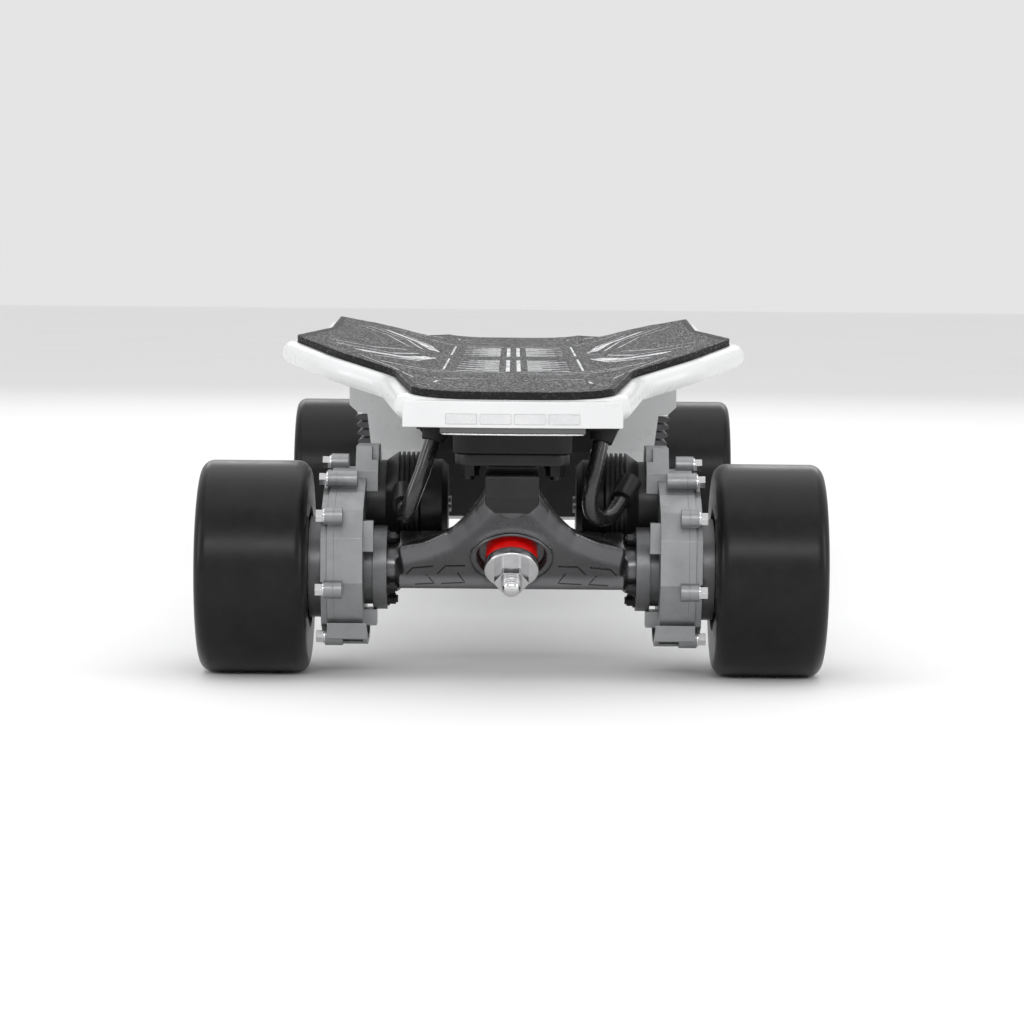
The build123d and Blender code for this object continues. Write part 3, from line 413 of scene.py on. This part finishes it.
def add_floor():
    """A wide white floor, which isn't part of the object."""
    corners = [(-1, -1), (1, -1), (1, 1), (-1, 1)]
    mesh = bpy.data.meshes.new("floor")
    mesh.from_pydata([(FLOOR_HALF * x, FLOOR_HALF * y, 0) for x, y in corners], [], [(0, 1, 2, 3)])
    floor = add_object("floor", mesh)
    paint = Surface("floor_paint", Roughness=0.9)
    paint.colour(paint.ramp(paint.noise(3.0), (0.3, 0.90), (0.7, 0.92)))
    mesh.materials.append(paint.material)


def add_light(name, place, target, size, power):
    """A rectangular softbox that faces the target."""
    data = bpy.data.lights.new(name, "AREA")
    data.shape = "RECTANGLE"
    data.size, data.size_y = size
    data.energy = power
    light = add_object(name, data)
    light.location = place
    light.rotation_mode = "QUATERNION"
    light.rotation_quaternion = (Vector(target) - Vector(place)).to_track_quat("-Z", "Y")


def add_lights():
    """A softbox behind the camera and one overhead, fill from every side and a white world."""
    for name, (place, target, size, power) in LIGHTS.items():
        add_light(name, place, target, size, power)
    world = bpy.data.worlds.new("studio")
    world.use_nodes = True
    background = world.node_tree.nodes["Background"]
    background.inputs["Color"].default_value = (1.0, 1.0, 1.0, 1)
    background.inputs["Strength"].default_value = WORLD_STRENGTH
    bpy.context.scene.world = world
    bpy.context.scene.view_settings.view_transform = "Standard"


# ---- building blocks -----------------------------------------------------------------------
def add_piece(name, mesh, body, material):
    """A visible piece with its material and slot. It rides on the body, if one is named."""
    piece = add_object(name, mesh)
    mesh.materials.clear()
    mesh.materials.append(material)
    if body:
        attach(piece, body)
    return piece


def mesh_from(bm, name):
    """A smooth-shaded mesh from a bmesh, which it frees."""
    mesh = bpy.data.meshes.new(name)
    bm.to_mesh(mesh)
    bm.free()
    for face in mesh.polygons:
        face.use_smooth = True
    return mesh


def surface_of(node):
    """A CAD node's surface, for rays to be cast at."""
    mesh = nodes[node].data
    corners = [vertex.co for vertex in mesh.vertices]
    return BVHTree.FromPolygons(corners, [tuple(face.vertices) for face in mesh.polygons])


def densified(points, step):
    """The polyline's points with more between them, about step apart."""
    dense = []
    for a, b in zip(points, points[1:]):
        count = max(1, round((b - a).length / step))
        dense += [a.lerp(b, i / count) for i in range(count)]
    return dense + [points[-1]]


def landed(target, place, point, lift):
    """Where a point of the drawing plane lands on the target, lifted off it, or None.

    The point falls along the -Z of the plane's frame.
    """
    start = place @ Vector((point[0], point[1], 0))
    hit, normal, _, _ = target.ray_cast(start, place.to_3x3() @ Vector((0, 0, -1)))
    return hit + normal * lift if hit else None


def lay_strip(bm, target, place, points, width, lift=0.1 * MM, step=6 * MM):
    """A strip width mm wide along points of the drawing plane (in mm), laid on the target."""
    line = densified([Vector(p) * MM for p in points], step)
    row = None
    for i, point in enumerate(line):
        along = (line[min(i + 1, len(line) - 1)] - line[max(i - 1, 0)]).normalized()
        across = Vector((-along.y, along.x)) * width * MM / 2
        ends = [landed(target, place, point + side * across, lift) for side in (-1, 1)]
        if None in ends:
            row = None
            continue
        verts = [bm.verts.new(end) for end in ends]
        if row:
            bm.faces.new((row[0], verts[0], verts[1], row[1]))
        row = verts


def tube_along(bm, points, radius, sides=8):
    """A tube with capped ends round a line of points, whose rings don't twist."""
    angles = [2 * pi * k / sides for k in range(sides)]
    rings = []
    u = None
    for i, point in enumerate(points):
        along = (points[min(i + 1, len(points) - 1)] - points[max(i - 1, 0)]).normalized()
        u = (u - along * u.dot(along)).normalized() if u else along.orthogonal().normalized()
        v = along.cross(u)
        rings.append([bm.verts.new(point + (u * cos(a) + v * sin(a)) * radius) for a in angles])
    for a, b in zip(rings, rings[1:]):
        for k in range(sides):
            bm.faces.new((a[k], a[(k + 1) % sides], b[(k + 1) % sides], b[k]))
    bm.faces.new(reversed(rings[0]))
    bm.faces.new(rings[-1])


# ---- print on the grip pad -----------------------------------------------------------------
# One quarter of the pad, at +X towards the tail. Each line is its width and its points, in mm.
PANEL_SIDES = [
    (2.2, [(3, -205), (3, -30)]),
    (1.2, [(38, -205), (38, -30)]),
]
STREAKS = [
    (6.5, [(49, -60), (60, -140), (84, -205)]),
    (1.6, [(46, -50), (54, -140), (74, -215)]),
    (1.6, [(56, -40), (68, -130), (96, -195)]),
    (1.2, [(64, -30), (80, -120), (101, -165)]),
    (1.8, [(4, -222), (34, -222), (48, -232), (70, -262)]),
    (1.2, [(8, -240), (40, -243), (56, -262)]),
    (1.4, [(80, -262), (62, -300), (50, -352)]),
    (1.4, [(12, -300), (28, -304), (36, -318)]),
    (1.4, [(30, -345), (38, -352), (39, -372)]),
]
# The pad's cut edge in the same quarter.
PAD_EDGE = [(0, -451.6), (42, -451.6), (46, -446), (58.2, -318), (89.5, -290), (113.0, -238),
            (113.4, -226), (107.6, 0)]
RUNG_COUNT = 20
RUNG_FIRST_Y = -200
RUNG_PITCH = 8.6
RUNG_WIDTH = 5.0
RUNG_START = 8
RUNG_END = 31              # of the longest ones
RUNG_SHORTER = 5           # from each length to the next
EDGE_WIDTH = 2.6
EDGE_LIFT = 0.12 * MM
# The drawing plane of the print.
ABOVE_DECK = Matrix.Translation((0, 0, 0.3))


def ladder_rungs():
    """Bars across the panel, whose reach steps through four lengths."""
    rungs = []
    for i in range(RUNG_COUNT):
        y = RUNG_FIRST_Y + RUNG_PITCH * i
        end = RUNG_END - RUNG_SHORTER * ((i * 7) % 4)
        rungs.append((RUNG_WIDTH, [(RUNG_START, y), (end, y)]))
    return rungs


def grip_print(materials):
    """A generic print and the pad's dark cut edge, both the same in all four quarters."""
    target = surface_of("grip_pad")
    print_lines = PANEL_SIDES + ladder_rungs() + STREAKS
    lines = bmesh.new()
    edge = bmesh.new()
    for turn in (1, -1):
        for side in (1, -1):
            for width, points in print_lines:
                quarter = [(side * turn * x, turn * y) for x, y in points]
                lay_strip(lines, target, ABOVE_DECK, quarter, width)
            quarter = [(side * turn * x, turn * y) for x, y in PAD_EDGE]
            lay_strip(edge, target, ABOVE_DECK, quarter, EDGE_WIDTH, EDGE_LIFT)
    add_piece("grip_edge", mesh_from(edge, "grip_edge"), "deck", materials["black_rubber"])
    add_piece("grip_print", mesh_from(lines, "grip_print"), "deck", materials["grip_ink"])


# ---- details of the trucks -----------------------------------------------------------------
# Marks on the right half of a hanger's outboard face: (x, z) from the axle, in mm. They are
# thin dark strips on the surface: painted shade of grooves, which makes them look engraved.
CHEVRONS = [
    [(51.7, -2.2), (48.5, 1.2), (38.4, 2.2)],
    [(41.9, -2.2), (38.0, -6.7), (47.6, -7.2)],
    [(36.4, -1.8), (32.5, 2.4), (22.7, 2.6)],
    [(26.6, -1.3), (22.9, -6.2), (34.5, -6.7)],
]
GROOVE_WIDTH = 0.5
GROOVE_LIFT = 0.22 * MM
GROOVE_STEP = 1.5 * MM
LIP_ARC = 24.6             # radius of the arc round the bushing's seat, in mm
LIP_CENTRE_Z = -4.6
LIP_SPREAD = 52            # degrees to each side of the top
LIP_STEPS = 32
LIP_LIFT = 0.4 * MM
LIP_RADIUS = 0.75 * MM
# A truck's drawing plane stands upright behind it and faces it.
BEHIND_TRUCK = Matrix.Translation((0, -0.15, 0)) @ Matrix.Rotation(pi / 2, 4, "X")


def seat_lip(target, behind):
    """A bead along the upper part of the bushing's seat."""
    bm = bmesh.new()
    arc = []
    for i in range(LIP_STEPS + 1):
        turn = radians(-LIP_SPREAD + 2 * LIP_SPREAD * i / LIP_STEPS)
        place = (LIP_ARC * MM * sin(turn), (LIP_CENTRE_Z + LIP_ARC * cos(turn)) * MM)
        spot = landed(target, behind, place, LIP_LIFT)
        if spot:
            arc.append(spot)
    tube_along(bm, arc, LIP_RADIUS)
    return mesh_from(bm, "lip")


def hanger_details(materials):
    """Painted shade of chevron grooves on the outboard face, and a raised lip over the bushing's
    seat.
    """
    for name, truck in TRUCKS.items():
        body = f"{name}_hanger"
        target = surface_of(body)
        behind = truck @ BEHIND_TRUCK
        # The dark strips laid on the face are painted shade in the chevron grooves.
        groove_shade = bmesh.new()
        for side in (-1, 1):
            for chevron in CHEVRONS:
                lay_strip(groove_shade, target, behind, [(side * x, z) for x, z in chevron],
                          GROOVE_WIDTH, GROOVE_LIFT, GROOVE_STEP)
        add_piece(f"{name}_hanger_groove_shade", mesh_from(groove_shade, "groove_shade"), body,
                  materials["motor_black"])
        add_piece(f"{name}_seat_lip", seat_lip(target, behind), body,
                  materials["hanger_coat"])


RIDGE_ARC = 4.75 * MM      # radius of each ridge's middle line
RIDGE_RADIUS = 0.4 * MM
RIDGE_START = 19.2 * MM
RIDGE_PITCH = 1.25 * MM
RIDGE_COUNT = 3
RIDGE_STEPS = 36


def kingpin_threads(materials):
    """Ridges like a rolled thread on each kingpin's free end."""
    for name, truck in TRUCKS.items():
        bm = bmesh.new()
        for i in range(RIDGE_COUNT):
            ring = []
            for k in range(RIDGE_STEPS + 1):
                turn = 2 * pi * k / RIDGE_STEPS
                spot = Vector((RIDGE_ARC * cos(turn), RIDGE_ARC * sin(turn),
                               RIDGE_START + RIDGE_PITCH * i))
                ring.append(truck @ KINGPIN @ spot)
            tube_along(bm, ring, RIDGE_RADIUS)
        add_piece(f"{name}_kingpin_threads", mesh_from(bm, "threads"), "deck",
                  materials["bright_steel"])


# The smoked strip's lower edge, in mm. It reaches furthest in its middle, and falls short by
# the bow at its ends.
STRIP_REACH = 468.6
STRIP_HALF = 33
STRIP_BOW = 4.0
STRIP_Z = 126.2
TRIM_STEP = 3
TRIM_RADIUS = 0.45 * MM


def strip_trims(materials):
    """Bright bead along the lower edge of each smoked strip."""
    bm = bmesh.new()
    for turn in (0, pi):
        place = DECK_TILT @ Matrix.Rotation(turn, 4, "Z")
        line = []
        for x in range(-STRIP_HALF, STRIP_HALF + 1, TRIM_STEP):
            y = -STRIP_REACH + STRIP_BOW * (x / STRIP_HALF) ** 2
            line.append(place @ (Vector((x, y, STRIP_Z)) * MM))
        tube_along(bm, line, TRIM_RADIUS)
    add_piece("strip_trims", mesh_from(bm, "trims"), "deck", materials["bright_steel"])


# ---- motor cables --------------------------------------------------------------------------
# Control points in the rear truck's frame, in mm, from the gland to the motor.
CABLES = {
    "left": [(-38.5, -24, 66), (-43, -27, 51), (-48, -28.5, 38), (-51.5, -23.5, 28.5),
             (-53, -13, 26), (-53.5, -3.5, 31)],
    "right": [(43.5, -24, 66), (40.5, -28, 52), (37.5, -29, 39), (38.5, -25.5, 29),
              (44.5, -17.5, 25.5), (50.5, -8.5, 28.5), (54, -1, 34.5)],
}
CABLE_R = 3.9 * MM
CABLE_SIDES = 24


def smooth_path(name, points):
    """Points along one smooth curve, which runs from the first to the last of the points."""
    curve = bpy.data.curves.new(name, "CURVE")
    curve.dimensions = "3D"
    spline = curve.splines.new("NURBS")
    spline.points.add(len(points) - 1)
    for control, point in zip(spline.points, points):
        control.co = (*point, 1)
    spline.order_u = 3
    spline.use_endpoint_u = True
    spline.resolution_u = 10
    line = bpy.data.objects.new(name, curve)
    path = [vertex.co.copy() for vertex in bpy.data.meshes.new_from_object(line).vertices]
    bpy.data.objects.remove(line)
    return path


def motor_cables(materials):
    """Each cable leaves a gland under the deck for its motor, which steers with the hanger."""
    for side, route in CABLES.items():
        path = smooth_path(f"{side}_route", [REAR @ (Vector(p) * MM) for p in route])
        bm = bmesh.new()
        tube_along(bm, path, CABLE_R, CABLE_SIDES)
        cable = add_piece(f"{side}_power_cable", mesh_from(bm, "cable"), None,
                          materials["cable_sheath"])
        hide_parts(f"{side}_motor_cable")
        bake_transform(cable)


add_camera()
add_floor()
add_lights()
materials = make_materials()
finish_nodes(materials)
soften_castings()
motor_cables(materials)
grip_print(materials)
hanger_details(materials)
kingpin_threads(materials)
strip_trims(materials)
